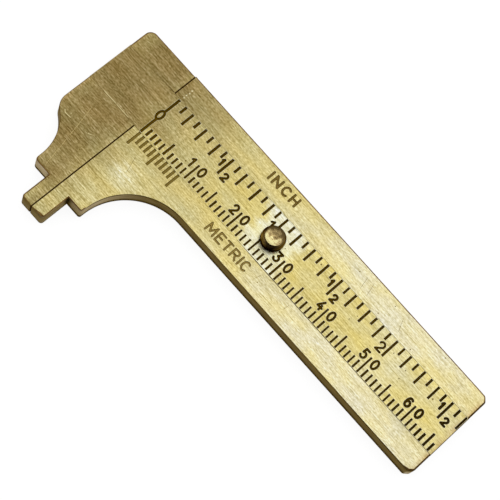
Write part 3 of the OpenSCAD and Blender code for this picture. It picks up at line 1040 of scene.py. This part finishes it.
def beam_wear(g):
    """The beam is darkest beside the head, most of all on its upper rail, and palest towards the tail:
    tarnish together with painted shade, and painted light on the fixed jaw.
    """
    dark = g.times(g.fit(g.y, -SLOT_Y, SLOT_Y, 0.08, 0.5), g.fit(g.x, -3, 17, 1, 0, True))
    seam = g.times(
        g.fit(g.x, 0, 4.5, 0.26, 0, True),
        g.fit(g.y, -SLOT_Y - 2, -SLOT_Y, 1, 0),
        g.fit(g.y, -12, RAIL_LOW_Y, 0.8, 0.55),
        g.fit(g.y, JAW_STEP_Y - 1, JAW_STEP_Y + 1, 0.5, 1),
    )
    # Painted light on the fixed jaw.
    bright = g.times(
        g.fit(g.x, 2.5, 6.5, 0, 0.14, True),
        g.fit(g.y, -15, -11, 0.2, 1, True),
        g.fit(g.y, -9.5, -7, 1, 0, True),
    )
    bright = g.plus(bright, g.fit(g.y, -14, -10, 0.12, 0, True))
    tail = g.fit(g.x, 56, 66, 0, 0.1)
    return g.plus(g.minus(g.fit(g.x, 8, 42, 0.5, 1), g.plus(dark, seam, tail)), bright)


def beam_sheen(g):
    """A painted sheen: pale where the fixed jaw meets its fillet, and along the middle of the upper rail."""
    streaks = g.noise((0.3, 2.5, 2.5), seed=71)
    jaw = g.fit(g.distance(5.0, -10.7), 0.8, 3.4, 0.6, 0, True)
    rail = g.times(g.fit(g.away(g.x, 44), 5, 12, 0.25, 0, True), g.fit(g.y, -1, 1))
    return g.times(g.plus(jaw, rail), g.fit(streaks, 0.35, 0.65, 0.1, 1))


def tail_burnish(g):
    """Brown rubbed into the beam's tail end and its corners."""
    patches = g.noise(0.8, seed=41)
    return g.times(g.fit(g.x, TAIL_X - 1.4, TAIL_X, 0, 0.75, True), g.fit(patches, 0.3, 0.6, 0.15, 1))


def bar_wear(g):
    """The bar is as dark as the head where they meet, as tarnish and painted shade, and pale between the
    lines and towards the tail.
    """
    wear_and_shading = g.plus(g.fit(g.x, -4, 12, 0, 0.5, True), g.fit(g.x, 9, 26, 0, 0.5, True))
    between = g.times(g.fit(g.x, ZERO_X, ZERO_X + 0.4), g.fit(g.y, -2.8, -2.5, 1, 0))
    return g.plus(wear_and_shading, g.times(between, g.fit(g.x, 2, 12, 0.42, 0)))


def thumb_patch(g):
    """The bar is rubbed almost white round the stud, and a little past the second inch."""
    patches = g.noise((0.45, 0.5, 0.5), seed=53)
    off = g.plus(g.away(g.x, STUD_X), g.fit(patches, *NOISE_SPAN, -1.4, 1.4))
    tail = g.most(g.fit(g.away(g.x, 53), 2, 5.5, 0.35, 0), g.fit(g.x, 56, 60, 0, 0.15))
    return g.plus(g.fit(off, 2.4, 5.2, 1, 0, True), tail)


def head_wear(g):
    """The head is darker all over, as tarnish and painted shade, most near its top and least in patches and
    at its sides, with a painted highlight on its jaw's tip.
    """
    patches = g.spread(g.noise((0.2, 0.25, 0.25), seed=31), 0.02, 0.06)
    # Painted highlight on the outer part of the moving jaw's tip.
    tip = g.times(g.fit(g.y, JAW_STEP_Y - 3, JAW_STEP_Y, 1, 0), g.fit(g.x, -1.6, -0.7, 0.22, 0))
    jaw = g.times(g.fit(g.y, -10, -8, 1, 0), g.fit(g.x, -2.6, -1.2, 0, 0.07, True))
    seam = g.fit(g.x, SEAM_X - 1.4, SEAM_X, 0, 0.09, True)
    side = g.fit(g.x, HEAD_END_X, HEAD_END_X + 4, g.fit(g.y, -8, 0, 0.02, 0.14), 0)
    top = g.fit(g.distance(-4.6, 7.3), 1.5, 4.2, 0.14, 0, True)
    return g.plus(g.minus(g.plus(jaw, seam, patches, side), top), tip)


def head_burnish(g):
    """Brown rubbed into the free sides of the head and of its jaw."""
    patches = g.noise(0.5, seed=47)
    side = g.fit(g.x, HEAD_END_X, HEAD_END_X + 1.2, 0.4, 0, True)
    jaw_side = g.times(g.fit(g.x, -MOVING_JAW_W, -4.3, 0.3, 0), g.fit(g.y, -14, -12, 1, 0))
    return g.times(g.most(side, jaw_side), g.fit(patches, 0.3, 0.6, 0.2, 1))


shared = [
    dark_edge_brass(),
    black_ink(),
    faint_ink(),
    fresh_brass_and_highlight(),
    satin_brass("inner_brass", (0.34, 0.24, 0.09), (0.50, 0.38, 0.16), (0.3, 6.0, 6.0)),
    worn_and_shaded_edge_brass(),
]
beam_brass = brushed_brass("beam_brass", RAIL_WARM, RAIL_PALE, beam_wear, tail_burnish, beam_sheen)
bar_brass = brushed_brass("bar_brass", BAR_WARM, BAR_PALE, bar_wear, tail_burnish, thumb_patch)
head_brass = brushed_brass("head_brass", BAR_WARM, BAR_PALE, head_wear, head_burnish)
beam_materials = [beam_brass] + shared
bar_materials = [bar_brass] + shared
head_materials = [head_brass] + shared


# Pieces
def make_beam():
    beam = plate("beam_body", beam_outline(), [*beam_marks(), *beam_flaws()], beam_materials)
    lower_edge = [(-1, FINE_CHAMFER), (BAR_CLOSE_X, FINE_CHAMFER)]
    lower_edge += [(BAR_OPEN_X, SLOT_CHAMFER), (TAIL_X + 1, FINE_CHAMFER)]
    cutters = [
        channel_cutter(SLOT_Y, lower_edge, beam_materials),
        pocket_cutter(beam_materials),
        drill((GROOVE_START_X, GROOVE_Y), BACK_Z - 1, CHANNEL_Z + 1, beam_materials),
    ]
    carve(beam, cutters)
    dress(beam, "frame", "beam")


def pocket_cutter(materials):
    """A block that cuts the spring's pocket into the channel's floor."""
    clear = Vector((POCKET_CLEAR, POCKET_CLEAR, 0))
    corners = rectangle((SPRING_MIN - clear).xy, (SPRING_MAX + clear).xy)
    shell = Shell()
    rings = [shell.ring(corners, z) for z in (SPRING_MIN.z, CHANNEL_Z + 1)]
    shell.solid(rings, [INNER, INNER])
    return shell.piece("pocket", materials)


def make_head():
    head = plate("head_body", head_outline(), head_flaws(), head_materials)
    lower_edge = [(HEAD_END_X - 1, FINE_CHAMFER), (1, FINE_CHAMFER)]
    cutters = [channel_cutter(BAR_Y + TONGUE_FIT, lower_edge, head_materials)]
    cutters += jaw_pin_drills(BACK_Z - 1, CHANNEL_Z + 1, head_materials)
    carve(head, cutters)
    dress(head, "slide", "moving_jaw")


def add_bar_ring(shell, side, end):
    """One loop of the bar, closest to the beam near the zero, from its sides' and end's inset and height."""
    side_inset, side_z = side
    end_inset, end_z = end
    half_w = BAR_Y + (FRONT_Z - side_z) / DOVETAIL_SLOPE
    eased = half_w - side_inset
    end_y = BAR_Y + (FRONT_Z - end_z) / DOVETAIL_SLOPE - side_inset
    ease_x = SEAM_X + 0.3
    end_x = TAIL_X - BAR_END_R
    close = eased + BAR_CLOSE
    lower = [(bar_min.x, -half_w), (SEAM_X, -half_w), (ease_x, -close)]
    lower += [(BAR_CLOSE_X, -close), (BAR_OPEN_X, -eased), (end_x, -eased)]
    tip = [(TAIL_X - end_inset, -end_y), (TAIL_X - end_inset, end_y)]
    upper = [(end_x, eased), (ease_x, close), (SEAM_X, half_w), (bar_min.x, half_w)]
    heights = [side_z] * 6 + [end_z] * 2 + [side_z] * 4
    return shell.ring(lower + tip + upper, heights)


def make_bar():
    shell = Shell()
    sides = rounded_edge(BAR_EDGE_R, BAR_Z, FRONT_Z)
    ends = rounded_edge(BAR_END_R, BAR_Z, FRONT_Z)
    rings = [add_bar_ring(shell, side, end) for side, end in zip(sides, ends)]
    edges = [WALL, WALL, FACE, WALL, WALL, WALL, WORN_AND_SHADED, WALL, FACE, FACE, FACE, WALL]
    shell.stack(rings, [WALL] * (len(rings) - 1 - EDGE_BANDS) + [edges] * EDGE_BANDS)
    groove_end = bar_max.x - GROOVE_END_WALL - GROOVE_R
    groove = Stroke([(GROOVE_START_X, GROOVE_Y), (groove_end, GROOVE_Y)], GROOVE_R, GROOVE_DEPTH, INNER)
    shell.lid(rings[-1], [*bar_marks(), *bar_flaws()])
    shell.lid(rings[0], [groove], up=False)
    bar = shell.piece("slide_bar_body", bar_materials)
    shank = [
        (2 * PEEN_R - SHANK_R + PIN_FIT, BAR_Z - PEEN_H),
        (SHANK_R + PIN_FIT, BAR_Z + PEEN_H),
        (SHANK_R + PIN_FIT, FRONT_Z + 1),
    ]
    cutters = [lathe("shank_hole", shank, (STUD_X, 0), bar_materials, INNER, 48)]
    cutters += jaw_pin_drills(BAR_Z - 1, JAW_PIN_TOP_Z, bar_materials)
    carve(bar, cutters)
    dress(bar, "slide", "slide_bar")


def make_stud(dish, side):
    """Turned stud with a dark side and a bright dished top that carries turning rings and a centre pip."""
    top_z = stud_max.z
    base_z = FRONT_Z
    dish_r = STUD_RIM_R - 0.1
    profile = [
        (PEEN_R, BAR_Z),
        (SHANK_R, BAR_Z + PEEN_H),
        (SHANK_R, base_z),
        (STUD_R - 0.06, base_z),
        (STUD_R, base_z + STUD_EASE),
        (STUD_R, base_z + STUD_SIDE_H - STUD_EASE),
        (STUD_R - 0.04, base_z + STUD_SIDE_H),
        (STUD_RIM_R + 0.08, top_z - 0.1),
        (STUD_RIM_R, top_z - LIP),
        (STUD_RIM_R - 0.05, top_z),
    ]
    finishes = [WALL] * len(profile)
    rings = 44
    inmost_r = 0.02
    for i in range(rings + 1):
        share = 1 - i / rings
        r = inmost_r + share * (dish_r - inmost_r)
        ripple = RING_H * cos(2 * pi * r / RING_PITCH)
        pip = PIP_H * exp(-((r / PIP_R) ** 2))
        profile.append((r, top_z - LIP - STUD_DISH * (1 - share**2) + ripple + pip))
        finishes.append(FACE)
    stud = lathe("stud_body", profile, (STUD_X, 0), [dish, side], finishes, 96)
    dress(stud, "slide", "thumb_stud")


def paint(node, material):
    """Gives a material to a solid that is shown as it is."""
    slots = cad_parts[node].data.materials
    slots.clear()
    slots.append(material)


make_beam()
make_head()
make_bar()
make_stud(turned_dish(), dark_stud_side())

pin_brass = satin_brass("pin_brass", (0.50, 0.38, 0.17), (0.70, 0.56, 0.28), (2.0, 6.0, 2.0))
spring_bronze = satin_brass("spring_bronze", (0.46, 0.26, 0.12), (0.62, 0.38, 0.19), (0.4, 6.0, 6.0))
for node in ("jaw_pin_upper", "jaw_pin_lower", "stop_pin"):
    paint(node, pin_brass)
paint("friction_spring", spring_bronze)


# Stage
def make_floor():
    """A plain white floor just under the part's back."""
    half = 2000
    below = 0.01
    shell = Shell()
    corners = rectangle((-half, -half), (half, half))
    shell.face(shell.ring(corners, BACK_Z - below), FACE)
    floor = shell.piece("floor", [floor_white()])
    floor.data.transform(Matrix.Scale(MM, 4))


def floor_white():
    """A matt floor that looks white where no shadow falls on it."""
    g = Graph("floor_white")
    tone = g.noise(0.002, 1)
    matt = g.mix(tone, (0.17, 0.17, 0.17), (0.18, 0.18, 0.18))
    path = g.node("LightPath").outputs
    seen = g.most(path["Is Camera Ray"], path["Is Glossy Ray"], path["Is Transmission Ray"])
    glow = g.times(seen, 0.9)
    return g.finish(Base_Color=matt, Roughness=1.0, Emission_Color=(1, 1, 1), Emission_Strength=glow)


def make_light():
    """A pale tent of light, dimmer on the jaws' side, with a large soft box over the tail."""
    world = bpy.data.worlds.new("tent")
    bpy.context.scene.world = world
    world.use_nodes = True
    tent = Tree(world.node_tree)
    way = tent.node("TexCoord").outputs["Generated"]
    bright_way = Vector((-0.35, 0.8, 0.45)).normalized()
    facing = tent.node("VectorMath", {0: way, 1: bright_way}, operation="DOT_PRODUCT")
    level = tent.fit(facing.outputs["Value"], -0.5, 0.7, 0.35, 0.86)
    background = tent.tree.nodes["Background"].inputs
    background["Color"].default_value = (1, 1, 1, 1)
    tent.tree.links.new(level, background["Strength"])
    lamp = bpy.data.lights.new("soft_box", "AREA")
    lamp.shape = "SQUARE"
    lamp.size = 0.5
    lamp.energy = 0.22 * pi * lamp.size**2
    box = add_object("soft_box", lamp)
    aim = Vector((30, 0, FRONT_Z)) * MM
    box.location = aim + Vector((0.05, 0.2, 0.5))
    box.rotation_mode = "QUATERNION"
    box.rotation_quaternion = (aim - box.location).to_track_quat("-Z", "Y")


def make_camera():
    """The photograph's view: from above the jaws, tilted and rolled."""
    aim = Vector((26.52, -3.846, FRONT_Z)) * MM
    distance = 262.26 * MM
    tilt = radians(20.53)
    azimuth = radians(103.87)
    roll = radians(35.04)
    look = Vector((sin(tilt) * cos(azimuth), sin(tilt) * sin(azimuth), -cos(tilt)))
    level = look.cross(Vector((0, 0, 1))).normalized()
    above = level.cross(look)
    right = level * cos(roll) + above * sin(roll)
    up = above * cos(roll) - level * sin(roll)
    data = bpy.data.cameras.new("camera")
    data.lens = 122.4
    data.clip_start = 0.01
    camera = add_object("camera", data)
    turn = Matrix((right, up, -look)).transposed().to_4x4()
    camera.matrix_world = Matrix.Translation(aim - look * distance) @ turn
    bpy.context.scene.camera = camera


make_floor()
make_light()
make_camera()
bpy.context.scene.view_settings.view_transform = "Standard"
